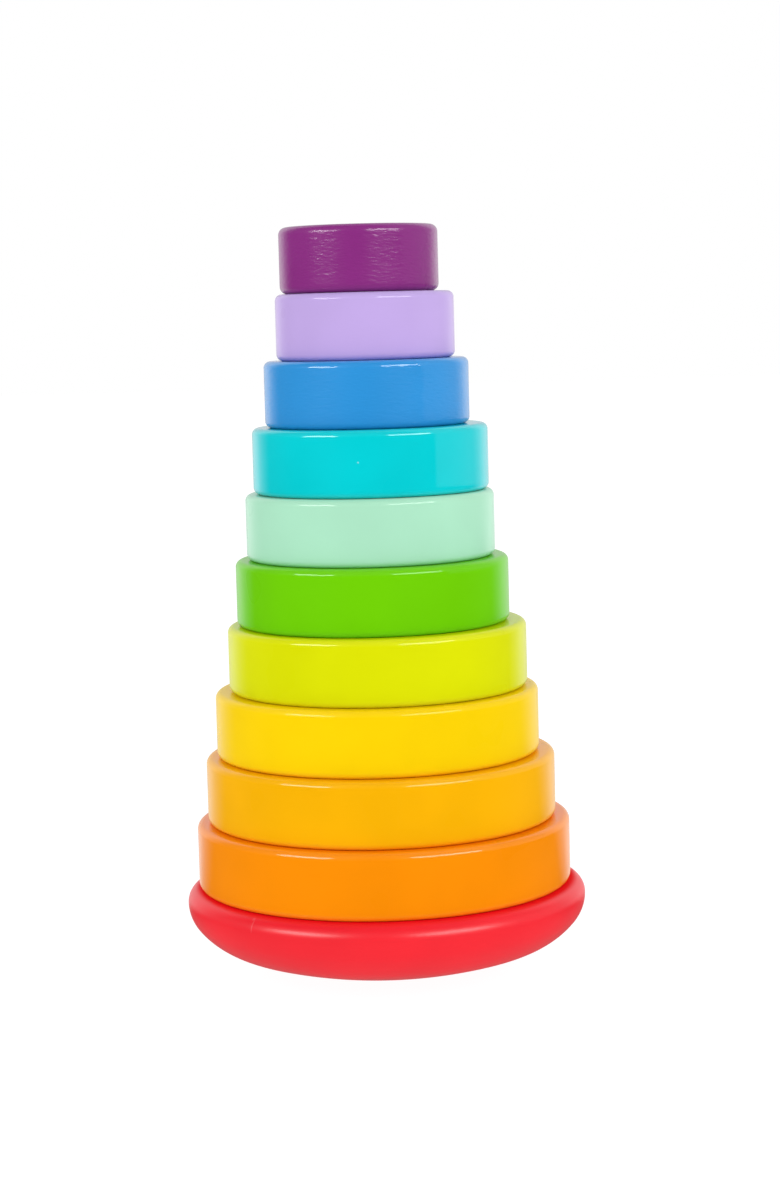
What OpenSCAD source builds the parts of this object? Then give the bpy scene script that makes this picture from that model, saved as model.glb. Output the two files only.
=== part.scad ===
// Wobbly stacking tower: ten loose wooden rings, graded in size, on a peg that stands
// in a round-bottomed rocker base. Millimetres, +Z up. The origin is the middle of the
// small flat foot under the base, on the axis of the base and the peg.

/* [Rocker base] */
// Widest diameter of the base
base_d = 122; // [100:1:150]
// Thickness of the base, from its foot to its flat top
base_h = 26.5; // [22:0.5:36]
// Rounding of the base's top edge
base_edge_r = 4.5; // [1:0.5:6]
// Radius of the shoulder, under the widest line
shoulder_r = 11; // [6:0.5:16]
// Angle that the shoulder turns through before the haunch, in degrees
shoulder_turn = 39; // [25:1:60]
// Radius of the haunch, between the shoulder and the rocking underside
haunch_r = 23.5; // [18:0.5:30]
// How much is sanded off the round underside, to leave the small flat foot
foot_cut = 0.35; // [0.1:0.05:1]

/* [Peg] */
// Diameter of the peg
peg_d = 14; // [8:0.5:18]
// Depth of the blind socket that the peg is glued in
socket_h = 15; // [8:0.5:20]
// Gap for glue round the peg in its socket
glue_gap = 0.05; // [0.02:0.01:0.2]
// How far the peg's tip stays below the top of the stack
tip_drop = 4; // [1:0.5:12]
// Rounding of the peg's tip
tip_r = 3; // [1:0.5:3.5]

/* [Rings] */
// Thickness of every ring
ring_h = 20; // [12:0.5:26]
// Diameter of the hole through every ring
ring_bore_d = 22; // [18:0.5:28]
// Rounding of a ring's outer edges
ring_edge_r = 2; // [0.5:0.1:4]
// Rounding of the edges of a ring's hole
bore_edge_r = 1; // [0.5:0.1:2]
// How far the loose rings have slipped to one side, from centred to as found
ring_slip = 1; // [0:0.1:1]

/* [Ring diameters] */
// Outer diameter of the orange ring, the lowest
orange_d = 114; // [40:0.5:140]
// Outer diameter of the amber ring
amber_d = 106.5; // [40:0.5:140]
// Outer diameter of the yellow ring
yellow_d = 98.5; // [40:0.5:140]
// Outer diameter of the lime ring
lime_d = 91; // [40:0.5:140]
// Outer diameter of the green ring
green_d = 83; // [40:0.5:140]
// Outer diameter of the mint ring
mint_d = 75.5; // [40:0.5:140]
// Outer diameter of the turquoise ring
turquoise_d = 71.5; // [40:0.5:140]
// Outer diameter of the blue ring
blue_d = 62; // [40:0.5:140]
// Outer diameter of the lilac ring
lilac_d = 54; // [40:0.5:140]
// Outer diameter of the purple ring, the highest
purple_d = 48; // [40:0.5:140]

/* [Hidden] */
$fa = 2;
$fs = 0.5;

// How far a cut runs past the face that it opens in
cut_margin = 1;

// Rings, from the lowest up: how far each lies towards -X, as a share of its play on the peg
slip_share = [0.1, 0.2, 0.35, 0.2, 0.45, 0.5, 0.35, 0.5, 0.5, 0.85];
ring_count = len(slip_share);
bore_r = ring_bore_d / 2;
peg_r = peg_d / 2;
play = bore_r - peg_r;
stack_h = ring_count * ring_h;

// Section of the base before the foot is sanded flat, with heights from the round underside's
// lowest point: the widest line, then the centres of the arcs as [radius, height]. Each arc's
// disc lies in the next one's and stands proud of it by a hair, so that their outlines cross.
arc_hair = 0.001;
base_r = base_d / 2;
widest_z = foot_cut + base_h - base_edge_r;
shoulder_c = [base_r - shoulder_r, widest_z];
shoulder_dir = [cos(shoulder_turn), -sin(shoulder_turn)];
haunch_c = shoulder_c - (haunch_r - shoulder_r + arc_hair) * shoulder_dir;
haunch_end = shoulder_c.x + shoulder_r * shoulder_dir.x;
haunch_in = haunch_r - arc_hair;
rocker_r = (haunch_c * haunch_c - haunch_in * haunch_in) / (2 * (haunch_c.y - haunch_in));
rocker_c = [0, rocker_r];
rocker_end = haunch_c.x * rocker_r / (rocker_r - haunch_in);

// What comes off a square corner, at the origin and filling -X and -Y, to round it
module corner_cut(r) {
    translate([-r, -r]) difference() {
        square(r);
        circle(r);
    }
}

// The part of a disc between the foot and the base's widest line, out to a distance from the axis
module low_disc(centre, r, reach) {
    intersection() {
        translate(centre) circle(r);
        translate([0, foot_cut]) square([reach, widest_z - foot_cut]);
    }
}

module base_outline() {
    translate([0, -foot_cut]) {
        low_disc(rocker_c, rocker_r, rocker_end);
        low_disc(haunch_c, haunch_r, haunch_end);
        low_disc(shoulder_c, shoulder_r, base_d);
    }
    difference() {
        translate([0, base_h - base_edge_r]) square([base_r, base_edge_r]);
        translate([base_r, base_h]) corner_cut(base_edge_r);
    }
}

module ring_outline(outer_r) {
    difference() {
        translate([bore_r, 0]) square([outer_r - bore_r, ring_h]);
        translate([0, ring_h / 2]) for (side = [0, 1]) mirror([0, side]) {
            translate([outer_r, ring_h / 2]) corner_cut(ring_edge_r);
            translate([bore_r, ring_h / 2]) mirror([1, 0]) corner_cut(bore_edge_r);
        }
    }
}

// A ring in its place in the stack: level 0 lies on the base
module stacked_ring(outer_d, level) {
    slip_x = -ring_slip * slip_share[level] * play;
    translate([slip_x, 0, base_h + level * ring_h])
        rotate_extrude() ring_outline(outer_d / 2);
}

module rocker_base() {
    color("#f92d3c") difference() {
        rotate_extrude() base_outline();
        translate([0, 0, base_h - socket_h])
            cylinder(h = socket_h + cut_margin, r = peg_r + glue_gap);
    }
}

module peg() {
    peg_l = socket_h + stack_h - tip_drop;
    color("#e3c392") translate([0, 0, base_h - socket_h])
        rotate_extrude() difference() {
            square([peg_r, peg_l]);
            translate([peg_r, peg_l]) corner_cut(tip_r);
        }
}

module orange_ring() { color("#ff9200") stacked_ring(orange_d, level = 0); }
module amber_ring() { color("#feb800") stacked_ring(amber_d, level = 1); }
module yellow_ring() { color("#ffd600") stacked_ring(yellow_d, level = 2); }
module lime_ring() { color("#e0e600") stacked_ring(lime_d, level = 3); }
module green_ring() { color("#6bd100") stacked_ring(green_d, level = 4); }
module mint_ring() { color("#b0e9c9") stacked_ring(mint_d, level = 5); }
module turquoise_ring() { color("#00d1d8") stacked_ring(turquoise_d, level = 6); }
module blue_ring() { color("#2895de") stacked_ring(blue_d, level = 7); }
module lilac_ring() { color("#c5abe8") stacked_ring(lilac_d, level = 8); }
module purple_ring() { color("#8c2982") stacked_ring(purple_d, level = 9); }

rocker_base();
peg();
orange_ring();
amber_ring();
yellow_ring();
lime_ring();
green_ring();
mint_ring();
turquoise_ring();
blue_ring();
lilac_ring();
purple_ring();
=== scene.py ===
"""Looks of the wobbly stacking tower: ten lacquered rings on a beech peg in a round-bottomed base.

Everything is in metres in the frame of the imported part: +Z is up, and the tower's front faces -Y.
"""

import logging
import math
from dataclasses import dataclass, field
from enum import Enum
from typing import ClassVar

import bmesh
import bpy
from mathutils import Matrix, Vector


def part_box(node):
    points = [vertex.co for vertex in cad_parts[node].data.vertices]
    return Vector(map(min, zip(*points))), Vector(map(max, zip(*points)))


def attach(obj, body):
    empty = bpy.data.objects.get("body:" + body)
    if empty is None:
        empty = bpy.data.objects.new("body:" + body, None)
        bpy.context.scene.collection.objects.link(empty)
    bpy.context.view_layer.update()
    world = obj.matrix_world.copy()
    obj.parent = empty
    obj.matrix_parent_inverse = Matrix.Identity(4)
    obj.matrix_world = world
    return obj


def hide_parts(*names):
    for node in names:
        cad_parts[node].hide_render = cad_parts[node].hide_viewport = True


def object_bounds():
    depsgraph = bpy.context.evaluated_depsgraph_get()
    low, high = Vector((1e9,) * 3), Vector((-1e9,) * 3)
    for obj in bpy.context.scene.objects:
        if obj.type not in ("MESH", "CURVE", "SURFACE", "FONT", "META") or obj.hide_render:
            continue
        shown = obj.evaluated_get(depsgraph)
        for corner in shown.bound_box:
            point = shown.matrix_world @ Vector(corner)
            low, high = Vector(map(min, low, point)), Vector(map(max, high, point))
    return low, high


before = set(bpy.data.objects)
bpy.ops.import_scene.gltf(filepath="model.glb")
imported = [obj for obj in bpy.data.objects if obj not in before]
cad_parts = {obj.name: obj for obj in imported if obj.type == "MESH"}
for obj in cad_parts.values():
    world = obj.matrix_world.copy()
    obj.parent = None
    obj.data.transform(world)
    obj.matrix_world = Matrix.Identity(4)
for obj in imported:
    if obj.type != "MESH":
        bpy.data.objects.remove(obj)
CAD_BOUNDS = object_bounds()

Socket = bpy.types.NodeSocket
Colour = tuple[float, float, float, float]
Place = tuple[float, float, float]

MM = 0.001

# The purple ring's outer edges are a little rounder than the other rings'
PURPLE_ROUNDING = 2.3 * MM

# Marks that the ring lathe leaves for the lacquer, as attribute names
ROUND_EDGE = "round_edge"
BORE_WALL = "bore_wall"

log = logging.getLogger("stacking_tower")


class RingTone(Enum):
    """The ten ring colours, from the lowest ring up. Each is also the CAD body's name."""

    ORANGE = "orange"
    AMBER = "amber"
    YELLOW = "yellow"
    LIME = "lime"
    GREEN = "green"
    MINT = "mint"
    TURQUOISE = "turquoise"
    BLUE = "blue"
    LILAC = "lilac"
    PURPLE = "purple"


class LightUse(Enum):
    """What a studio light is for."""

    STREAK = "streak"
    FILL = "fill"


def linear_colour(hex_code: str) -> Colour:
    """Turns a paint colour code into scene light values.

    Args:
        hex_code: The colour as six hex digits, in display values.

    Returns:
        Red, green, blue and alpha, in linear values.
    """
    channels = [int(hex_code[i : i + 2], 16) / 255 for i in (0, 2, 4)]
    bent = [c / 12.92 if c <= 0.04045 else ((c + 0.055) / 1.055) ** 2.4 for c in channels]
    return (*bent, 1.0)


class NodeBench:
    """Adds and joins the nodes of one node tree."""

    def __init__(self, tree: bpy.types.NodeTree) -> None:
        """Keeps the tree that the nodes go in."""
        self.tree = tree

    def add(self, kind: str, inputs: dict[str | int, object] | None = None,
            **settings: object) -> bpy.types.Node:
        """Adds a node.

        Args:
            kind: The node's type name.
            inputs: What its inputs are linked to or set to, by their names or numbers.
            settings: Properties of the node, by name.

        Returns:
            The new node.
        """
        node = self.tree.nodes.new(kind)
        for name, value in settings.items():
            setattr(node, name, value)
        for key, value in (inputs or {}).items():
            self.feed(node.inputs[key], value)
        return node

    def feed(self, socket: Socket, value: object) -> None:
        """Links an output to an input, or sets the input's value.

        Args:
            socket: The input.
            value: An output socket, or a plain value.
        """
        if isinstance(value, Socket):
            self.tree.links.new(value, socket)
        else:
            socket.default_value = value

    def math(self, operation: str, *values: object, clamp: bool = False) -> Socket:
        """Adds a Math node with outputs or numbers as its inputs, and gives its output."""
        inputs = dict(enumerate(values))
        return self.add("ShaderNodeMath", inputs, operation=operation, use_clamp=clamp).outputs[0]

    def vector(self, operation: str, *values: object) -> Socket:
        """Adds a Vector Math node, and gives its output: a number for a length or a dot product."""
        node = self.add("ShaderNodeVectorMath", dict(enumerate(values)), operation=operation)
        return node.outputs["Value" if operation in ("LENGTH", "DOT_PRODUCT") else "Vector"]

    def parts(self, vector: object) -> tuple[Socket, ...]:
        """Splits a vector into X, Y and Z."""
        return tuple(self.add("ShaderNodeSeparateXYZ", {0: vector}).outputs)

    def axis_distance(self, across: object, along: object) -> Socket:
        """Measures how far a place is from the vertical axis, from its X and Y."""
        square = self.math("ADD", self.math("POWER", across, 2.0), self.math("POWER", along, 2.0))
        return self.math("SQRT", square)

    def ramp(self, value: object, low: float, high: float, to_low: float = 0.0, to_high: float = 1.0,
             smooth: bool = True) -> Socket:
        """Maps a range of a value onto another range, clamped.

        Args:
            value: What is mapped.
            low: The value that becomes to_low.
            high: The value that becomes to_high.
            to_low: The result at low.
            to_high: The result at high.
            smooth: Whether the change is eased at both ends.

        Returns:
            The mapped value.
        """
        inputs = {"Value": value, "From Min": low, "From Max": high, "To Min": to_low, "To Max": to_high}
        kind = "SMOOTHSTEP" if smooth else "LINEAR"
        return self.add("ShaderNodeMapRange", inputs, interpolation_type=kind).outputs["Result"]

    def choose(self, share: object, first: object, second: object) -> Socket:
        """Mixes two numbers, by how much of the second comes through."""
        inputs = {"Factor": share, "A": first, "B": second}
        return self.add("ShaderNodeMix", inputs, data_type="FLOAT").outputs[0]

    def blend(self, share: object, first: object, second: object) -> Socket:
        """Mixes two colours.

        Args:
            share: How much of the second colour shows, from 0 to 1.
            first: The first colour.
            second: The second colour.

        Returns:
            The mixed colour.
        """
        node = self.add("ShaderNodeMix", {"Factor": share}, data_type="RGBA")
        colour_inputs = [s for s in node.inputs if s.type == "RGBA"]
        self.feed(colour_inputs[0], first)
        self.feed(colour_inputs[1], second)
        return next(s for s in node.outputs if s.type == "RGBA")

    def own_place(self) -> Socket:
        """Gives the place on the piece, in its own coordinates."""
        return self.add("ShaderNodeTexCoord").outputs["Object"]

    def grain_space(self, turn: float, stretch: Place) -> Socket:
        """Gives the piece's own coordinates, turned and stretched along the wood's grain.

        Args:
            turn: The grain's direction round the vertical, in degrees from +X.
            stretch: Pattern repeats per metre along, across and up.

        Returns:
            The coordinates.
        """
        inputs = {"Vector": self.own_place(), "Rotation": (0, 0, math.radians(-turn))}
        turned = self.add("ShaderNodeMapping", inputs)
        return self.add("ShaderNodeMapping", {"Vector": turned.outputs[0], "Scale": stretch}).outputs[0]

    def noise(self, place: object, detail: float = 2.0, rough: float = 0.5) -> Socket:
        """Adds a cloudy pattern around 0.5, with finer layers by their number and strength."""
        inputs = {"Vector": place, "Scale": 1.0, "Detail": detail, "Roughness": rough}
        return self.add("ShaderNodeTexNoise", inputs).outputs["Fac"]

    def bump(self, height: object, distance: float) -> Socket:
        """Turns a height into a bumpy normal, by the distance that a height of 1 stands for."""
        return self.add("ShaderNodeBump", {"Height": height, "Distance": distance}).outputs[0]


def new_material(name: str) -> tuple[bpy.types.Material, NodeBench, bpy.types.Node]:
    """Starts a material.

    Args:
        name: The material's name.

    Returns:
        The material, a bench for its nodes, and its surface shader.
    """
    material = bpy.data.materials.new(name)
    material.use_nodes = True
    bench = NodeBench(material.node_tree)
    return material, bench, material.node_tree.nodes["Principled BSDF"]


@dataclass(frozen=True)
class Speck:
    """A grain of dust caught in the lacquer.

    Attributes:
        place: Where it is.
        size: How far it reaches.
        share: How much of the dust's own colour shows.
        dust: That colour.
        rise: How high it stands.
    """

    place: Place
    size: float = 0.35 * MM
    share: float = 0.38
    dust: Colour = (0.95, 0.95, 0.92, 1)
    rise: float = 0.05 * MM


@dataclass(frozen=True)
class Scuff:
    """A hairline knock in the lacquer, upright on the piece's side.

    Attributes:
        place: Its middle.
        knock: The small dent at its upper end.
        half_length: Half its length.
        half_width: Half its width.
        knock_size: How far the dent reaches.
        share: How much of the scuffed colour shows.
        scuffed: That colour.
        depth: How deep it is.
    """

    place: Place
    knock: Place
    half_length: float = 2.6 * MM
    half_width: float = 0.3 * MM
    knock_size: float = 0.75 * MM
    share: float = 0.2
    scuffed: Colour = (0.95, 0.3, 0.3, 1)
    depth: float = 0.02 * MM


@dataclass(frozen=True)
class RubbedShadedTop:
    """A flat top that the piece above has rubbed matte, with faint round marks inside its rim, and a painted
    contact shadow: a deeper red painted where the ring above sits on it.

    Attributes:
        radius: Where the rubbing ends.
        height: The top's height.
        coat_left: Share of the clear coat that is left.
        dulling: Roughness that the rubbing adds.
        contact_shade_share: How much of the painted contact shadow, a deeper red where the ring above sits,
            shows.
        deep: That painted shadow's colour.
        mark_repeats: How closely the marks lie, per metre.
        mark_share: How strongly they show.
        mark: Their colour.
    """

    radius: float
    height: float
    coat_left: float = 0.04
    dulling: float = 0.45
    # The deeper red is painted shade: the contact shadow where the ring above sits on this top
    contact_shade_share: float = 0.7
    deep: Colour = (0.86, 0.001, 0.002, 1)
    mark_repeats: float = 420.0
    mark_share: float = 0.16
    mark: Colour = (0.82, 0.13, 0.13, 1)


@dataclass(frozen=True)
class Lacquer:
    """Coloured toy lacquer sprayed on turned beech.

    Attributes:
        name: The finish's name.
        paint: The colour code.
        shine_loss: Roughness of the paint under the clear coat.
        coat: How strong the clear coat is.
        coat_loss: Roughness of the clear coat.
        mirror: Strength of the paint's own reflection.
        peel: Height of the orange-peel texture.
        grain: Height of the wood grain that shows through the paint.
        grain_turn: Direction of the wood's grain, in degrees from +X.
        speck: A grain of dust in the lacquer, if there is one.
        scuff: A hairline knock, if there is one.
        rubbed: The top that is rubbed matte and carries a painted contact shadow, if there is one.
    """

    name: str
    paint: str
    shine_loss: float = 0.3
    coat: float = 0.8
    coat_loss: float = 0.04
    mirror: float = 0.03
    peel: float = 0.004 * MM
    grain: float = 0.004 * MM
    grain_turn: float = 0.0
    speck: Speck | None = None
    scuff: Scuff | None = None
    rubbed: RubbedShadedTop | None = None

    # Repeats per metre along, across and up: slow drifts of the colour, wood grain, sprayed texture
    DRIFT: ClassVar[Place] = (34, 34, 34)
    STREAKS: ClassVar[Place] = (55, 620, 900)
    PEEL: ClassVar[Place] = (420, 420, 1400)
    # Light left where the paint lies thicker, and how strongly that follows the grain
    DEEPER: ClassVar[float] = 0.94
    STREAK_SHARE: ClassVar[float] = 0.12
    # How much paler the paint is where it has drawn thin over a rounded edge
    EDGE_PALER: ClassVar[float] = 0.012
    # The wood under the paint, how much of it shows in a hole, and how much duller a hole is
    WOOD: ClassVar[str] = "d9b888"
    WOOD_SHARE: ClassVar[float] = 0.55
    BORE_DULLING: ClassVar[float] = 0.25

    def material(self) -> bpy.types.Material:
        """Makes the lacquer's material.

        Returns:
            The material.
        """
        material, bench, shader = new_material(self.name)
        drift = bench.noise(bench.grain_space(self.grain_turn, self.DRIFT))
        streaks = bench.noise(bench.grain_space(self.grain_turn, self.STREAKS), detail=3.0, rough=0.6)
        bore = bench.add("ShaderNodeAttribute", attribute_name=BORE_WALL).outputs["Fac"]
        colour = self._painted(bench, drift, streaks, bore)
        peel = bench.noise(bench.grain_space(0, self.PEEL), rough=0.45)
        height = bench.math("MULTIPLY", peel, self.peel / MM)
        height = bench.math("MULTIPLY_ADD", streaks, self.grain / MM, height)
        if self.speck:
            near = self._near(bench, self.speck.place, self.speck.size)
            colour = bench.blend(bench.math("MULTIPLY", near, self.speck.share), colour, self.speck.dust)
            height = bench.math("MULTIPLY_ADD", near, self.speck.rise / MM, height)
        if self.scuff:
            knock = self._near(bench, self.scuff.knock, self.scuff.knock_size)
            near = bench.math("MAXIMUM", self._hairline(bench, self.scuff), knock)
            colour = bench.blend(bench.math("MULTIPLY", near, self.scuff.share), colour, self.scuff.scuffed)
            height = bench.math("MULTIPLY_ADD", near, -self.scuff.depth / MM, height)
        relief = bench.bump(height, MM)
        bench.feed(shader.inputs["Normal"], relief)
        bench.feed(shader.inputs["Coat Normal"], relief)

        gloss = bench.ramp(drift, 0.2, 0.8, self.shine_loss * 0.85, self.shine_loss * 1.15)
        gloss = bench.math("MULTIPLY_ADD", bore, self.BORE_DULLING, gloss)
        shader.inputs["Specular IOR Level"].default_value = self.mirror
        shader.inputs["Coat Weight"].default_value = self.coat
        shader.inputs["Coat Roughness"].default_value = self.coat_loss
        if self.rubbed:
            here, rubbed_and_shaded = self._rubbing(bench, self.rubbed)
            # Painted shade: the rubbed top's colour is darkened into a contact shadow under the ring above,
            # besides its matte coat and wear marks
            colour = self._rub_marked_and_shaded(bench, self.rubbed, colour, here, rubbed_and_shaded)
            gloss = bench.math("MULTIPLY_ADD", rubbed_and_shaded, self.rubbed.dulling, gloss)
            kept = bench.math("SUBTRACT", 1.0, rubbed_and_shaded)
            bench.feed(shader.inputs["Coat Weight"], bench.math("MULTIPLY", kept, self.coat))
        bench.feed(shader.inputs["Base Color"], colour)
        bench.feed(shader.inputs["Roughness"], gloss)
        return material

    def _painted(self, bench: NodeBench, drift: Socket, streaks: Socket, bore: Socket) -> Socket:
        """Mixes the paint's colour: a little uneven, thin on the rounded edges and worn in the hole.

        Args:
            bench: The material's bench.
            drift: The slow drifts of the colour.
            streaks: The wood's grain.
            bore: 1 on a hole's wall.

        Returns:
            The colour.
        """
        paint = linear_colour(self.paint)
        deep = (*(c * self.DEEPER for c in paint[:3]), 1.0)
        edge_tint = (*(c + (1 - c) * self.EDGE_PALER for c in paint[:3]), 1.0)
        wood = linear_colour(self.WOOD)
        thin_paint = tuple(c + (w - c) * self.WOOD_SHARE for c, w in zip(paint, wood))
        edge = bench.add("ShaderNodeAttribute", attribute_name=ROUND_EDGE).outputs["Fac"]

        colour = bench.blend(bench.ramp(drift, 0.3, 0.7), deep, paint)
        thick = bench.ramp(streaks, 0.35, 0.75)
        colour = bench.blend(bench.math("MULTIPLY", thick, self.STREAK_SHARE), colour, deep)
        patchy = bench.ramp(drift, 0.35, 0.65, 0.5, 1.0)
        colour = bench.blend(bench.math("MULTIPLY", edge, patchy), colour, edge_tint)
        bare = bench.ramp(streaks, 0.3, 0.7, 0.45, 1.0)
        return bench.blend(bench.math("MULTIPLY", bore, bare), colour, thin_paint)

    @staticmethod
    def _rubbing(bench: NodeBench, top: RubbedShadedTop) -> tuple[Socket, Socket]:
        """Finds the rubbed part of a flat top, which is also where its contact shadow is painted.

        Args:
            bench: The material's bench.
            top: The rubbed top.

        Returns:
            The distance from the axis, and 1 on the rubbed part, falling to 0 beside and below it.
        """
        across, along, up = bench.parts(bench.own_place())
        here = bench.axis_distance(across, along)
        outside = bench.ramp(here, top.radius - 1.5 * MM, top.radius + 0.7 * MM, top.coat_left, 1.0)
        below = bench.ramp(up, top.height - 2.0 * MM, top.height - 1.0 * MM, 1.0, 0.0)
        return here, bench.math("SUBTRACT", 1.0, bench.math("MAXIMUM", outside, below))

    @staticmethod
    def _rub_marked_and_shaded(bench: NodeBench, top: RubbedShadedTop, colour: Socket, here: Socket, rubbed_and_shaded: Socket) -> Socket:
        """Paints the contact shadow on a rubbed top as a deeper red, and leaves its round marks.

        Args:
            bench: The material's bench.
            top: The rubbed top.
            colour: The paint's colour.
            here: The distance from the axis.
            rubbed_and_shaded: 1 on the rubbed part, where the contact shadow is also painted.

        Returns:
            The colour.
        """
        inputs = {"W": here, "Scale": top.mark_repeats, "Detail": 4.0}
        marks = bench.add("ShaderNodeTexNoise", inputs, noise_dimensions="1D")
        pale = bench.math("MULTIPLY", bench.ramp(marks.outputs["Fac"], 0.4, 0.8, 0.0, top.mark_share),
                          bench.ramp(here, top.radius - 6.0 * MM, top.radius - 3.0 * MM, 1.0, 0.0))
        # Painted shade: a deeper red where the ring above sits, standing in for its contact shadow
        colour = bench.blend(bench.math("MULTIPLY", rubbed_and_shaded, top.contact_shade_share), colour, top.deep)
        return bench.blend(bench.math("MULTIPLY", pale, rubbed_and_shaded), colour, top.mark)

    @staticmethod
    def _near(bench: NodeBench, place: Place, reach: float) -> Socket:
        """Gives 1 at a point on the piece, falling to 0 at the reach."""
        apart = bench.vector("LENGTH", bench.vector("SUBTRACT", bench.own_place(), place))
        return bench.ramp(apart, reach * 0.3, reach, 1.0, 0.0)

    def _hairline(self, bench: NodeBench, scuff: Scuff) -> Socket:
        """Finds what lies on a scuff's hairline.

        Args:
            bench: The material's bench.
            scuff: The scuff.

        Returns:
            1 along the line, falling to 0 beside it and at its ends.
        """
        sideways = Vector((-scuff.place[1], scuff.place[0], 0)).normalized()
        apart = bench.vector("SUBTRACT", bench.own_place(), scuff.place)
        off = bench.math("ABSOLUTE", bench.vector("DOT_PRODUCT", apart, sideways))
        line = bench.ramp(off, scuff.half_width * 0.2, scuff.half_width, 1.0, 0.0)
        return bench.math("MULTIPLY", line, self._near(bench, scuff.place, scuff.half_length))


@dataclass(frozen=True)
class BareBeech:
    """Sanded, unpainted beech with its grain along the peg.

    Attributes:
        name: The finish's name.
        pale: The light wood's colour code.
        dark: The darker growth's colour code.
        fleck: The colour code of the short flecks.
        relief: Height of the grain.
        mirror: Strength of its reflection.
    """

    name: str = "bare_beech"
    pale: str = "e8caa0"
    dark: str = "cfa572"
    fleck: str = "a8794a"
    relief: float = 0.05 * MM
    mirror: float = 0.35

    # Repeats per metre across, deep and up: fine grain, broad figure and flecks
    GRAIN: ClassVar[Place] = (240, 240, 14)
    FIGURE: ClassVar[Place] = (90, 30, 6)
    FLECKS: ClassVar[Place] = (900, 900, 140)

    def material(self) -> bpy.types.Material:
        """Makes the bare wood's material.

        Returns:
            The material.
        """
        material, bench, shader = new_material(self.name)
        pale, dark, fleck = (linear_colour(code) for code in (self.pale, self.dark, self.fleck))
        grain = bench.noise(bench.grain_space(0, self.GRAIN), detail=4.0, rough=0.6)
        figure = bench.noise(bench.grain_space(0, self.FIGURE))
        inputs = {"Vector": bench.grain_space(0, self.FLECKS), "Scale": 1.0}
        pores = bench.add("ShaderNodeTexVoronoi", inputs, feature="F1")
        flecks = bench.ramp(pores.outputs["Distance"], 0.08, 0.24, 1.0, 0.0)
        colour = bench.blend(bench.ramp(grain, 0.35, 0.65), pale, dark)
        colour = bench.blend(bench.ramp(figure, 0.4, 0.7, 0.0, 0.5), colour, dark)
        colour = bench.blend(bench.math("MULTIPLY", flecks, 0.55), colour, fleck)
        height = bench.math("SUBTRACT", grain, bench.math("MULTIPLY", flecks, 0.5))
        bench.feed(shader.inputs["Base Color"], colour)
        bench.feed(shader.inputs["Roughness"], bench.ramp(grain, 0.3, 0.7, 0.5, 0.66))
        bench.feed(shader.inputs["Normal"], bench.bump(height, self.relief))
        shader.inputs["Specular IOR Level"].default_value = self.mirror
        return material


def settle_piece(piece: bpy.types.Object, body: str, node: str) -> None:
    """Hands a finished piece to the frame, in the stead of its CAD node.

    Args:
        piece: The finished piece.
        body: The CAD body that it moves with.
        node: The CAD node that it stands for.
    """
    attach(piece, body)
    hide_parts(node)
    faces = sum(len(p.vertices) - 2 for p in piece.data.polygons)
    log.info("%s: rides on %s, stands for %s, %d triangles", piece.name, body, node, faces)


def add_piece(name: str, mesh: bpy.types.Mesh) -> bpy.types.Object:
    """Puts a mesh in the scene as a piece, with every face turned outwards.

    Args:
        name: The piece's name.
        mesh: Its mesh.

    Returns:
        The piece.
    """
    shell = bmesh.new()
    shell.from_mesh(mesh)
    if shell.calc_volume(signed=True) < 0:
        bmesh.ops.reverse_faces(shell, faces=shell.faces)
    for face in shell.faces:
        face.smooth = True
    shell.to_mesh(mesh)
    shell.free()
    mesh.name = name
    piece = bpy.data.objects.new(name, mesh)
    bpy.context.scene.collection.objects.link(piece)
    return piece


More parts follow.
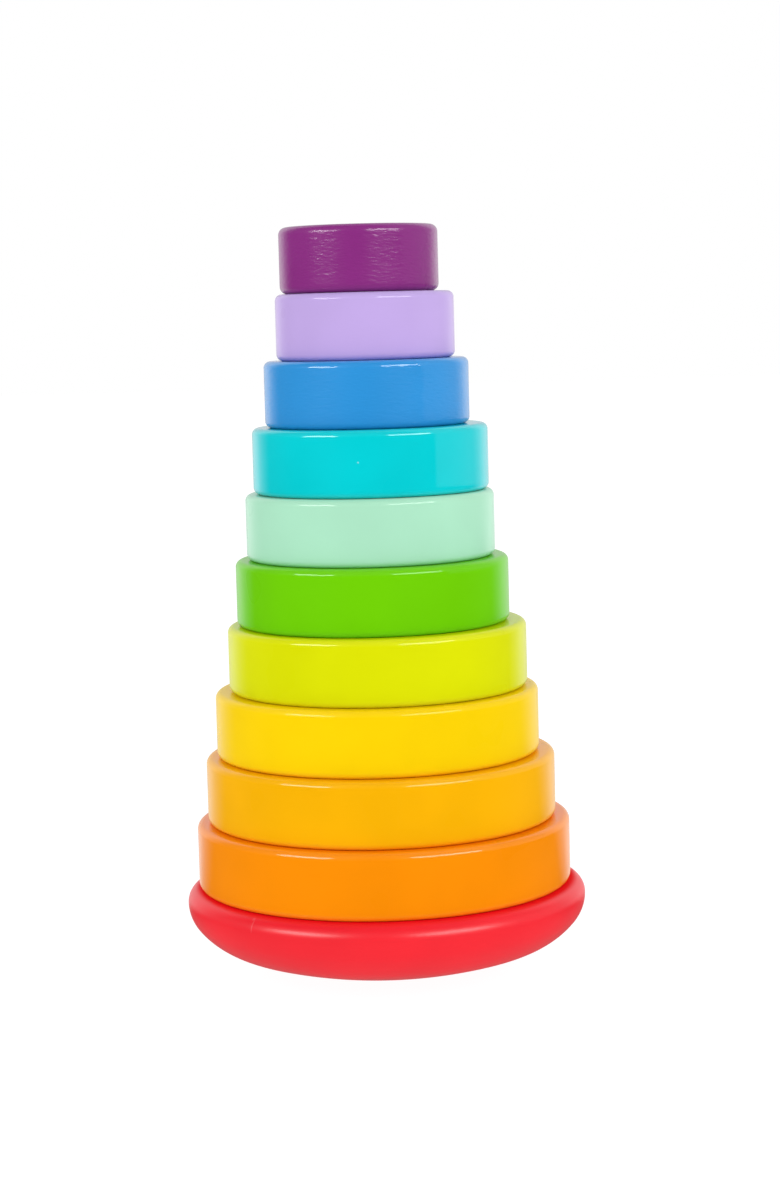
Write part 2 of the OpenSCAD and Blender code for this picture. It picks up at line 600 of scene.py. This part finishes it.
class RingLathe:
    """The node tree that turns every ring, from a few named sizes."""

    SIZES = (
        ("Outer Radius", 40 * MM), ("Bore Radius", 11 * MM), ("Thickness", 20 * MM),
        ("Edge Rounding", 2 * MM), ("Bore Rounding", 1 * MM), ("Tool Wander", 0.02 * MM),
        ("Wander Seed", 0.0), ("Slip", 0.0), ("Floor", 0.0),
    )
    COUNTS = (("Round Steps", 240), ("Arc Steps", 14), ("Face Steps", 14))
    WANDER_REPEATS = 55.0

    def __init__(self) -> None:
        """Builds the tree."""
        self.tree = bpy.data.node_groups.new("turned_ring", "GeometryNodeTree")
        face = self.tree.interface
        for name, value in self.SIZES:
            face.new_socket(name, in_out="INPUT", socket_type="NodeSocketFloat").default_value = value
        for name, value in self.COUNTS:
            face.new_socket(name, in_out="INPUT", socket_type="NodeSocketInt").default_value = value
        face.new_socket("Finish", in_out="INPUT", socket_type="NodeSocketMaterial")
        face.new_socket("Ring", in_out="OUTPUT", socket_type="NodeSocketGeometry")
        bench = NodeBench(self.tree)
        self.given = bench.add("NodeGroupInput").outputs
        ring = self._swept(bench, self._outline(bench))
        ring = self._wandered(bench, ring)
        ring = self._marked(bench, ring)
        self._placed(bench, ring)

    def _outline(self, bench: NodeBench) -> Socket:
        """Draws the ring's section about the path's radius: X outwards, and Y downwards.

        Args:
            bench: The tree's bench.

        Returns:
            The section with rounded corners and even steps along its straight sides.
        """
        given = self.given
        wall = bench.math("SUBTRACT", given["Outer Radius"], given["Bore Radius"])
        half_wall = bench.math("MULTIPLY", wall, 0.5)
        inward = bench.math("MULTIPLY", half_wall, -1.0)
        top = bench.math("MULTIPLY", given["Thickness"], -1.0)
        corners = ((half_wall, 0.0), (half_wall, top), (inward, top), (inward, 0.0))
        points = {f"Point {number}": bench.add("ShaderNodeCombineXYZ", {"X": across, "Y": down}).outputs[0]
                  for number, (across, down) in enumerate(corners, start=1)}
        section = bench.add("GeometryNodeCurvePrimitiveQuadrilateral", points, mode="POINTS")
        # The first two corners are outside, and the last two in the hole
        index = bench.add("GeometryNodeInputIndex").outputs[0]
        on_bore = bench.math("GREATER_THAN", index, 1.5)
        outer_share = bench.math("SUBTRACT", 1.0, on_bore)
        rounding = bench.math("MULTIPLY_ADD", on_bore, given["Bore Rounding"],
                              bench.math("MULTIPLY", outer_share, given["Edge Rounding"]))
        inputs = {"Curve": section.outputs[0], "Count": given["Arc Steps"], "Radius": rounding}
        rounded = bench.add("GeometryNodeFilletCurve", inputs, mode="POLY")
        # Each arc's last point starts a straight side
        per_corner = bench.math("ADD", given["Arc Steps"], 1.0)
        last = bench.math("COMPARE", bench.math("MODULO", index, per_corner), given["Arc Steps"], 0.5)
        cuts = bench.math("MULTIPLY", last, given["Face Steps"])
        stepped = bench.add("GeometryNodeSubdivideCurve", {"Curve": rounded.outputs[0], "Cuts": cuts})
        return stepped.outputs[0]

    def _swept(self, bench: NodeBench, outline: Socket) -> Socket:
        """Carries the section round the ring's axis.

        Args:
            bench: The tree's bench.
            outline: The section.

        Returns:
            The ring, with its underside at height 0.
        """
        both = bench.math("ADD", self.given["Outer Radius"], self.given["Bore Radius"])
        inputs = {"Resolution": self.given["Round Steps"], "Radius": bench.math("MULTIPLY", both, 0.5)}
        path = bench.add("GeometryNodeCurvePrimitiveCircle", inputs, mode="RADIUS")
        sweep = bench.add("GeometryNodeCurveToMesh", {"Curve": path.outputs[0], "Profile Curve": outline})
        return bench.add("GeometryNodeSetShadeSmooth", {"Geometry": sweep.outputs[0]}).outputs[0]

    def _wandered(self, bench: NodeBench, ring: Socket) -> Socket:
        """Leaves the slight unevenness of turning on the ring's wall, and none on its flat faces.

        Args:
            bench: The tree's bench.
            ring: The swept ring.

        Returns:
            The uneven ring.
        """
        place = bench.add("GeometryNodeInputPosition").outputs[0]
        inputs = {"Vector": place, "W": self.given["Wander Seed"],
                  "Scale": self.WANDER_REPEATS, "Detail": 1.0}
        ripple = bench.add("ShaderNodeTexNoise", inputs, noise_dimensions="4D")
        hollow = bench.math("SUBTRACT", ripple.outputs["Fac"], 1.0)
        sideways = bench.vector("MULTIPLY", bench.add("GeometryNodeInputNormal").outputs[0], (1, 1, 0))
        inputs = {0: sideways, "Scale": bench.math("MULTIPLY", hollow, self.given["Tool Wander"])}
        offset = bench.add("ShaderNodeVectorMath", inputs, operation="SCALE")
        inputs = {"Geometry": ring, "Offset": offset.outputs[0]}
        return bench.add("GeometryNodeSetPosition", inputs).outputs[0]

    def _marked(self, bench: NodeBench, ring: Socket) -> Socket:
        """Stores where the ring's rounded edges and its bore wall are, for the lacquer.

        Args:
            bench: The tree's bench.
            ring: The ring.

        Returns:
            The ring with both marks.
        """
        across, along, height = bench.parts(bench.add("GeometryNodeInputPosition").outputs[0])
        radius = bench.axis_distance(across, along)
        from_face = bench.math("MINIMUM", height, bench.math("SUBTRACT", self.given["Thickness"], height))
        from_wall = bench.math("SUBTRACT", self.given["Outer Radius"], radius)
        rounding = self.given["Edge Rounding"]
        near_face = bench.math("SUBTRACT", 1.0, bench.math("DIVIDE", from_face, rounding), clamp=True)
        near_wall = bench.math("SUBTRACT", 1.0, bench.math("DIVIDE", from_wall, rounding), clamp=True)
        edge = bench.math("MULTIPLY", bench.math("MULTIPLY", near_face, near_wall), 2.0, clamp=True)
        from_bore = bench.math("SUBTRACT", radius, self.given["Bore Radius"])
        share = bench.math("DIVIDE", from_bore, self.given["Bore Rounding"])
        bore = bench.math("SUBTRACT", 1.0, share, clamp=True)
        for name, value in ((ROUND_EDGE, edge), (BORE_WALL, bore)):
            inputs = {"Geometry": ring, "Name": name, "Value": value}
            store = bench.add("GeometryNodeStoreNamedAttribute", inputs, data_type="FLOAT", domain="POINT")
            ring = store.outputs[0]
        return ring

    def _placed(self, bench: NodeBench, ring: Socket) -> None:
        """Moves the ring to its place in the stack, dresses it and ends the tree.

        Args:
            bench: The tree's bench.
            ring: The finished ring.
        """
        place = bench.add("ShaderNodeCombineXYZ", {"X": self.given["Slip"], "Z": self.given["Floor"]})
        moved = bench.add("GeometryNodeTransform", {"Geometry": ring, "Translation": place.outputs[0]})
        real = bench.add("GeometryNodeRealizeInstances", {"Geometry": moved.outputs[0]})
        inputs = {"Geometry": real.outputs[0], "Material": self.given["Finish"]}
        dressed = bench.add("GeometryNodeSetMaterial", inputs)
        bench.add("NodeGroupOutput", {"Ring": dressed.outputs[0]})

    def turn(self, name: str, sizes: dict[str, object]) -> bpy.types.Mesh:
        """Turns one ring.

        Args:
            name: The ring's name.
            sizes: Values for the tree's named inputs.

        Returns:
            The ring as a plain mesh, in its place.
        """
        blank = bpy.data.objects.new(name + "_blank", bpy.data.meshes.new(name + "_blank"))
        bpy.context.scene.collection.objects.link(blank)
        lathe = blank.modifiers.new("turned_ring", "NODES")
        lathe.node_group = self.tree
        sockets = {item.name: item.identifier for item in self.tree.interface.items_tree
                   if item.item_type == "SOCKET" and item.in_out == "INPUT"}
        for size, value in sizes.items():
            lathe[sockets[size]] = value
        graph = bpy.context.evaluated_depsgraph_get()
        mesh = bpy.data.meshes.new_from_object(blank.evaluated_get(graph), depsgraph=graph)
        bpy.data.objects.remove(blank)
        return mesh


@dataclass
class StackRing:
    """One loose ring of the stack. Its sizes and place come from its CAD node.

    Attributes:
        tone: Which ring it is.
        finish: Its lacquer.
        edge_rounding: Radius of its outer edges.
        bore_rounding: Radius of the edges of its hole.
        bore_radius: Radius of its hole.
    """

    tone: RingTone
    finish: Lacquer
    edge_rounding: float = 2.0 * MM
    bore_rounding: float = 1.0 * MM
    bore_radius: float = 11.0 * MM

    def build(self, lathe: RingLathe) -> None:
        """Turns and dresses the ring.

        Args:
            lathe: The ring lathe.
        """
        node = self.tone.value + "_ring"
        low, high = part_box(node)
        sizes = {
            "Outer Radius": (high.y - low.y) / 2,
            "Bore Radius": self.bore_radius,
            "Thickness": high.z - low.z,
            "Edge Rounding": self.edge_rounding,
            "Bore Rounding": self.bore_rounding,
            "Wander Seed": float(list(RingTone).index(self.tone)),
            "Slip": (low.x + high.x) / 2,
            "Floor": low.z,
            "Finish": self.finish.material(),
        }
        name = node + "_turned"
        ring = add_piece(name, lathe.turn(name, sizes))
        settle_piece(ring, self.tone.value, node)


@dataclass
class TurnedSolid:
    """A solid turned about the tower's axis, from its section.

    Attributes:
        name: The piece's name.
        steps: How many steps go round it.
        section: Its outline as [radius, height], starting and ending on the axis.
    """

    name: str
    steps: int
    section: list[tuple[float, float]] = field(default_factory=list)

    # Points closer than this are one point
    SAME_PLACE: ClassVar[float] = 1e-7

    def arc(self, centre: tuple[float, float], radius: float, start: float, end: float, count: int) -> None:
        """Adds an arc to the section.

        Args:
            centre: Its centre.
            radius: Its radius.
            start: Its first angle, in degrees from outwards towards up.
            end: Its last angle.
            count: How many steps it has.
        """
        for i in range(count + 1):
            angle = math.radians(start + (end - start) * i / count)
            self.point(centre[0] + radius * math.cos(angle), centre[1] + radius * math.sin(angle))

    def point(self, radius: float, height: float) -> None:
        """Adds a point to the section, unless the last one is already there."""
        if not self.section or math.dist(self.section[-1], (radius, height)) > self.SAME_PLACE:
            self.section.append((radius, height))

    def line(self, radius: float, height: float, count: int) -> None:
        """Adds a straight run from the section's last point.

        Args:
            radius: Its end's radius.
            height: Its end's height.
            count: How many steps it has.
        """
        r0, z0 = self.section[-1]
        for i in range(1, count + 1):
            self.point(r0 + (radius - r0) * i / count, z0 + (height - z0) * i / count)

    def mesh(self) -> bpy.types.Mesh:
        """Turns the section round the axis.

        Returns:
            A closed mesh with a single vertex at each pole.
        """
        rows = self.section[1:-1]
        turns = [2 * math.pi * k / self.steps for k in range(self.steps)]
        points = [(r * math.cos(a), r * math.sin(a), z) for r, z in rows for a in turns]
        first, last = len(points), len(points) + 1
        points += [(0, 0, self.section[0][1]), (0, 0, self.section[-1][1])]
        faces = []
        for k in range(self.steps):
            after = (k + 1) % self.steps
            faces.append((first, after, k))
            for row in range(len(rows) - 1):
                low, high = row * self.steps, (row + 1) * self.steps
                faces.append((low + k, low + after, high + after, high + k))
            top = (len(rows) - 1) * self.steps
            faces.append((last, top + k, top + after))
        made = bpy.data.meshes.new(self.name)
        made.from_pydata(points, [], faces)
        made.update()
        return made


@dataclass
class RockerBase:
    """The round-bottomed base. Its width and thickness come from its CAD node.

    Attributes:
        finish: Its lacquer.
        edge_rounding: Radius of its top edge.
        shoulder_radius: Radius of the shoulder, under the widest line.
        shoulder_turn: Angle that the shoulder turns through, in degrees.
        haunch_radius: Radius of the haunch, between the shoulder and the rocking underside.
        foot_cut: How much is sanded off the underside for the small flat foot.
        socket_depth: Depth of the peg's blind socket.
        socket_radius: Radius of the socket.
        softening: How far the sharp edges are eased.
    """

    finish: Lacquer
    edge_rounding: float = 4.5 * MM
    shoulder_radius: float = 11.0 * MM
    shoulder_turn: float = 39.0
    haunch_radius: float = 23.5 * MM
    foot_cut: float = 0.35 * MM
    socket_depth: float = 15.0 * MM
    socket_radius: float = 7.05 * MM
    softening: float = 0.3 * MM

    def section(self, solid: TurnedSolid, half_width: float, thickness: float) -> None:
        """Draws the base's section from the foot, round the outside and down into the socket.

        Args:
            solid: The solid that takes the section.
            half_width: The base's widest radius.
            thickness: Its thickness.
        """
        turn = math.radians(self.shoulder_turn)
        widest = self.foot_cut + thickness - self.edge_rounding
        shoulder = (half_width - self.shoulder_radius, widest)
        step = self.haunch_radius - self.shoulder_radius
        haunch = (shoulder[0] - step * math.cos(turn), shoulder[1] + step * math.sin(turn))
        spread = haunch[0] ** 2 + haunch[1] ** 2 - self.haunch_radius**2
        rocker = spread / (2 * (haunch[1] - self.haunch_radius))
        lean = math.degrees(math.atan2(haunch[0], rocker - haunch[1]))
        foot_lean = math.degrees(math.acos(1 - self.foot_cut / rocker))
        drop = self.foot_cut
        inner = half_width - self.edge_rounding
        mouth = self.socket_radius + self.softening
        solid.point(0, 0)
        solid.line(rocker * math.sin(math.radians(foot_lean)), 0, count=8)
        solid.arc((0, rocker - drop), rocker, foot_lean - 90, lean - 90, count=26)
        solid.arc((haunch[0], haunch[1] - drop), self.haunch_radius, lean - 90, -self.shoulder_turn, count=18)
        solid.arc((shoulder[0], shoulder[1] - drop), self.shoulder_radius, -self.shoulder_turn, 0, count=18)
        solid.arc((inner, thickness - self.edge_rounding), self.edge_rounding, 0, 90, count=20)
        solid.line(mouth, thickness, count=30)
        solid.arc((mouth, thickness - self.softening), self.softening, 90, 180, count=4)
        solid.line(self.socket_radius, thickness - self.socket_depth, count=10)
        solid.line(0, thickness - self.socket_depth, count=4)

    def build(self) -> None:
        """Turns and dresses the base."""
        low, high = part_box("rocker_base")
        solid = TurnedSolid("rocker_base_turned", steps=360)
        self.section(solid, (high.x - low.x) / 2, high.z - low.z)
        base = add_piece(solid.name, solid.mesh())
        base.data.materials.append(self.finish.material())
        settle_piece(base, "base", "rocker_base")


@dataclass
class BeechPeg:
    """The peg glued in the base's socket. Its sizes come from its CAD node.

    Attributes:
        finish: Its bare wood.
        tip_rounding: Radius of its tip's edge.
        foot_easing: Bevel of its lower end.
    """

    finish: BareBeech
    tip_rounding: float = 3.0 * MM
    foot_easing: float = 0.5 * MM

    def build(self) -> None:
        """Turns and dresses the peg."""
        low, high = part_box("peg")
        radius = (high.x - low.x) / 2
        solid = TurnedSolid("peg_turned", steps=96)
        solid.point(0, low.z)
        solid.line(radius - self.foot_easing, low.z, count=3)
        solid.line(radius, low.z + self.foot_easing, count=1)
        solid.line(radius, high.z - self.tip_rounding, count=60)
        shoulder = (radius - self.tip_rounding, high.z - self.tip_rounding)
        solid.arc(shoulder, self.tip_rounding, 0, 90, count=12)
        solid.line(0, high.z, count=5)
        peg = add_piece(solid.name, solid.mesh())
        peg.data.materials.append(self.finish.material())
        settle_piece(peg, "base", "peg")


@dataclass(frozen=True)
class Softbox:
    """A rectangular studio light on a circle round the tower.

    Attributes:
        name: Its name.
        use: Whether it is mirrored in the lacquer as a streak, or fills the shadows.
        azimuth: Its direction from the tower, in degrees to the right of the front.
        elevation: Its height above the horizon, in degrees.
        width: Its width in degrees, seen from the tower.
        height: Its height in degrees.
        glow: Its brightness, as light given off per area and solid angle.
        distance: How far it is from the tower.
    """

    name: str
    use: LightUse
    azimuth: float
    elevation: float
    width: float
    height: float
    glow: float
    distance: float = 2.0

    def hang(self, target: Vector) -> None:
        """Hangs the light so that it faces the target.

        Args:
            target: The middle of the tower.
        """
        lamp = bpy.data.lights.new(self.name, "AREA")
        lamp.shape = "RECTANGLE"
        lamp.size, lamp.size_y = (2 * self.distance * math.tan(math.radians(span / 2))
                                  for span in (self.width, self.height))
        lamp.energy = self.glow * math.pi * lamp.size * lamp.size_y
        box = bpy.data.objects.new(self.name, lamp)
        bpy.context.scene.collection.objects.link(box)
        side, rise = math.radians(self.azimuth), math.radians(self.elevation)
        way = Vector((math.sin(side) * math.cos(rise), -math.cos(side) * math.cos(rise), math.sin(rise)))
        box.location = target + way * self.distance
        box.rotation_mode = "QUATERNION"
        box.rotation_quaternion = way.to_track_quat("Z", "Y")
        box.visible_camera = False
        box.visible_diffuse = self.use is LightUse.FILL
        box.visible_glossy = self.use is LightUse.STREAK


@dataclass(frozen=True)
class Fade:
    """How a glow changes over a stretch of the way round the tower, or of the way from it.

    Attributes:
        start: Where the stretch starts, in degrees to the right of the front or in metres.
        end: Where it ends.
        first: The glow before it.
        last: The glow after it.
        eased: Whether the change is eased at both ends.
    """

    start: float
    end: float
    first: float = 0.0
    last: float = 1.0
    eased: bool = True

    def at(self, bench: NodeBench, value: Socket, unit: float = 1.0) -> Socket:
        """Gives the glow at a value, given how large the stretch's unit is in the value's."""
        return bench.ramp(value, self.start * unit, self.end * unit, self.first, self.last, self.eased)


@dataclass
class Studio:
    """The white table, the surround, the lights and the camera.

    Attributes:
        boxes: The studio lights.
        camera_place: Where the camera stands.
        pitch: How far the camera looks down, in degrees.
        roll: How far the camera is turned about its own line of sight, in degrees.
        lens: The camera's focal length in mm.
        shift_up: The camera's vertical shift, as a share of the image's long side.
        sensor: The camera's sensor along the image's long side, in mm.
        table_size: The white table's side.
        table_drop: How far the table's top lies under the base's foot, so that they don't flicker.
        table_shade: How much light the table gives back.
        table_glow: The table's glow, where it isn't mirrored.
        table_lift: What that glow gains before the camera, which makes the table white.
        surround_light: The surround's light on the tower.
    """

    boxes: tuple[Softbox, ...]
    camera_place: Vector
    pitch: float
    roll: float
    lens: float
    shift_up: float
    sensor: float = 36.0
    table_size: float = 12.0
    table_drop: float = 0.05 * MM
    table_shade: float = 0.2
    table_glow: float = 0.86
    table_lift: float = 0.1
    surround_light: float = 0.53

    # Screens beside and behind the tower, by direction, and how they fade behind it and near it
    RIGHT_SCREEN: ClassVar[Fade] = Fade(117, 138, 0.0, 1.2, eased=False)
    LEFT_SCREEN: ClassVar[Fade] = Fade(-142, -116, 1.2, 0.0, eased=False)
    BEHIND: ClassVar[Fade] = Fade(145, 172, 1.0, 0.68)
    NEAR_SCREENS: ClassVar[Fade] = Fade(0.25, 1.6, 0.85, 1.0)
    # The narrow panel on the right, from its near side to its far side, which stands far off
    PANEL_RISE: ClassVar[Fade] = Fade(64, 68, eased=False)
    PANEL_FALL: ClassVar[Fade] = Fade(112, 135, 0.6, 0.0, eased=False)
    NEAR_PANEL: ClassVar[Fade] = Fade(1.4, 1.9)
    # The table's pale glow close round the foot
    POOL: ClassVar[Fade] = Fade(0.07, 0.16, 0.26, 0.0)

    def lay_table(self) -> None:
        """Lays the white table that the tower stands on."""
        half, top = self.table_size / 2, -self.table_drop
        corners = [(-half, -half, top), (half, -half, top), (half, half, top), (-half, half, top)]
        mesh = bpy.data.meshes.new("white_table")
        mesh.from_pydata(corners, [], [(0, 1, 2, 3)])
        table = bpy.data.objects.new("white_table", mesh)
        bpy.context.scene.collection.objects.link(table)
        material, bench, shader = new_material("white_acrylic")
        path = bench.add("ShaderNodeLightPath")
        mirrored = path.outputs["Is Glossy Ray"]
        shade = (self.table_shade, self.table_shade, self.table_shade, 1)
        bench.feed(shader.inputs["Base Color"], bench.blend(mirrored, shade, (0, 0, 0, 1)))
        shader.inputs["Roughness"].default_value = 0.9
        shader.inputs["Specular IOR Level"].default_value = 0.0
        here = bench.own_place()
        away = bench.vector("LENGTH", here)
        screens, panel = self.wings(bench, here)
        wings = bench.math("ADD", bench.math("MULTIPLY", screens, self.NEAR_SCREENS.at(bench, away)),
                           bench.math("MULTIPLY", panel, self.NEAR_PANEL.at(bench, away)))
        lit = bench.math("MULTIPLY_ADD", path.outputs["Is Camera Ray"], self.table_lift, self.table_glow)
        glow = bench.choose(mirrored, lit, bench.math("MAXIMUM", self.POOL.at(bench, away), wings))
        shader.inputs["Emission Color"].default_value = (1, 1, 1, 1)
        bench.feed(shader.inputs["Emission Strength"], glow)
        mesh.materials.append(material)

    def wings(self, bench: NodeBench, way: Socket) -> tuple[Socket, ...]:
        """Gives the mirrored glow of the white screens and of the narrow panel.

        Args:
            bench: The bench of the material or surround.
            way: The direction from the tower.

        Returns:
            The glow in that direction of the screens, which is none in front, and of the panel.
        """
        across, along, _ = bench.parts(way)
        side = bench.math("ARCTAN2", across, bench.math("MULTIPLY", along, -1.0))
        degree = math.radians(1)
        screens = bench.math("ADD", self.RIGHT_SCREEN.at(bench, side, degree),
                             self.LEFT_SCREEN.at(bench, side, degree))
        behind = self.BEHIND.at(bench, bench.math("ABSOLUTE", side), degree)
        panel = bench.math("MULTIPLY", self.PANEL_RISE.at(bench, side, degree),
                           self.PANEL_FALL.at(bench, side, degree))
        return bench.math("MULTIPLY", screens, behind), panel

    def wrap_surround(self) -> None:
        """Wraps the tower in a white surround, whose mirrored glow is dark where the camera stands."""
        world = bpy.data.worlds.new("white_surround")
        bpy.context.scene.world = world
        world.cycles.sampling_method = "NONE"
        world.use_nodes = True
        bench = NodeBench(world.node_tree)
        light = world.node_tree.nodes["Background"]
        path = bench.add("ShaderNodeLightPath")
        screens, panel = self.wings(bench, bench.add("ShaderNodeTexCoord").outputs["Generated"])
        mirrored = bench.math("ADD", screens, panel)
        lit = bench.choose(path.outputs["Is Glossy Ray"], self.surround_light, mirrored)
        light.inputs["Color"].default_value = (1, 1, 1, 1)
        bench.feed(light.inputs["Strength"], bench.choose(path.outputs["Is Camera Ray"], lit, 1.0))

    def set_camera(self) -> None:
        """Sets up the camera."""
        lens = bpy.data.cameras.new("studio_camera")
        lens.sensor_width = self.sensor
        lens.lens = self.lens
        lens.shift_y = self.shift_up
        camera = bpy.data.objects.new("studio_camera", lens)
        bpy.context.scene.collection.objects.link(camera)
        tilt = Matrix.Rotation(math.radians(90 - self.pitch), 4, "X")
        roll = Matrix.Rotation(math.radians(self.roll), 4, "Z")
        camera.matrix_world = Matrix.Translation(self.camera_place) @ tilt @ roll
        bpy.context.scene.camera = camera

    def build(self, target: Vector) -> None:
        """Sets up the whole studio.

        Args:
            target: The middle of the tower.
        """
        self.lay_table()
        self.wrap_surround()
        for box in self.boxes:
            box.hang(target)
            log.info("light %s: %.0f degrees round, %.0f degrees up", box.name, box.azimuth, box.elevation)
        self.set_camera()
        bpy.context.scene.view_settings.view_transform = "Standard"


def ring_finishes() -> dict[RingTone, Lacquer]:
    """Gives each ring its lacquer.

    Returns:
        The lacquers by ring.
    """
    speck = Speck(place=(-0.0048, -0.0356, 0.1572))
    kinds = (
        Lacquer("orange_lacquer", "ff9200", coat=0.55, grain_turn=12),
        Lacquer("amber_lacquer", "feb800", coat=0.42, grain_turn=-25),
        Lacquer("yellow_lacquer", "ffd600", coat=0.26, grain_turn=40),
        Lacquer("lime_lacquer", "e0e600", coat=0.38, grain_turn=-8),
        Lacquer("green_lacquer", "71d100", coat=0.42, grain_turn=63),
        Lacquer("mint_lacquer", "b0e9c9", coat=0.42, grain_turn=-50),
        Lacquer("turquoise_lacquer", "00d1d8", coat=0.7, coat_loss=0.03, grain_turn=20, speck=speck),
        Lacquer("blue_lacquer", "2895de", shine_loss=0.4, mirror=0.12, coat=0.7, coat_loss=0.06,
                peel=0.075 * MM, grain=0.015 * MM, grain_turn=-12),
        Lacquer("lilac_lacquer", "c5abe8", coat=0.45, peel=0.01 * MM, grain=0.012 * MM, grain_turn=33),
        Lacquer("purple_lacquer", "8c2982", mirror=0.1, coat=0.5, coat_loss=0.18,
                peel=0.09 * MM, grain=0.02 * MM, grain_turn=6),
    )
    return dict(zip(RingTone, kinds))


def base_finish() -> Lacquer:
    """Gives the base its lacquer, satin and with the marks of use, and a painted contact shadow under the
    lowest ring.

    Returns:
        The lacquer.
    """
    scuff = Scuff(place=(-0.03916, -0.04615, 0.02402), knock=(-0.03857, -0.04463, 0.02553))
    # Painted shade: the rubbed top also darkens the base's red into a contact shadow under the orange ring
    rubbed = RubbedShadedTop(radius=58.3 * MM, height=26.5 * MM)
    return Lacquer("red_lacquer", "fb1c2c", shine_loss=0.4, mirror=0.06, coat=0.5, coat_loss=0.3,
                   peel=0.006 * MM, grain=0.006 * MM, grain_turn=-18, scuff=scuff, rubbed=rubbed)


def white_studio() -> Studio:
    """Gives the studio: two softboxes that the lacquer mirrors, four fills, and the camera.

    Returns:
        The studio.
    """
    streak, fill = LightUse.STREAK, LightUse.FILL
    return Studio(
        boxes=(
            Softbox("left_softbox", streak, azimuth=-51, elevation=22, width=34, height=16, glow=14.0),
            Softbox("right_softbox", streak, azimuth=40, elevation=22, width=42, height=16, glow=12.0),
            Softbox("left_fill", fill, azimuth=-46, elevation=28, width=50, height=34, glow=1.45),
            Softbox("right_fill", fill, azimuth=44, elevation=28, width=50, height=34, glow=1.7),
            Softbox("left_side_fill", fill, azimuth=-110, elevation=14, width=50, height=34, glow=0.8),
            Softbox("right_side_fill", fill, azimuth=110, elevation=14, width=50, height=34, glow=0.8),
        ),
        camera_place=Vector((3.88 * MM, -768.7 * MM, 200.8 * MM)),
        pitch=5.126,
        roll=-1.525,
        lens=76.265,
        shift_up=-0.050167,
    )


def main() -> None:
    """Builds the tower's pieces in order, then the studio."""
    logging.basicConfig(level=logging.INFO, format="%(name)s: %(message)s")
    RockerBase(base_finish()).build()
    BeechPeg(BareBeech()).build()
    lathe = RingLathe()
    for tone, finish in ring_finishes().items():
        rounding = PURPLE_ROUNDING if tone is RingTone.PURPLE else StackRing.edge_rounding
        StackRing(tone, finish, edge_rounding=rounding).build(lathe)
    low, high = CAD_BOUNDS
    white_studio().build((low + high) / 2)


if __name__ == "__main__":
    main()
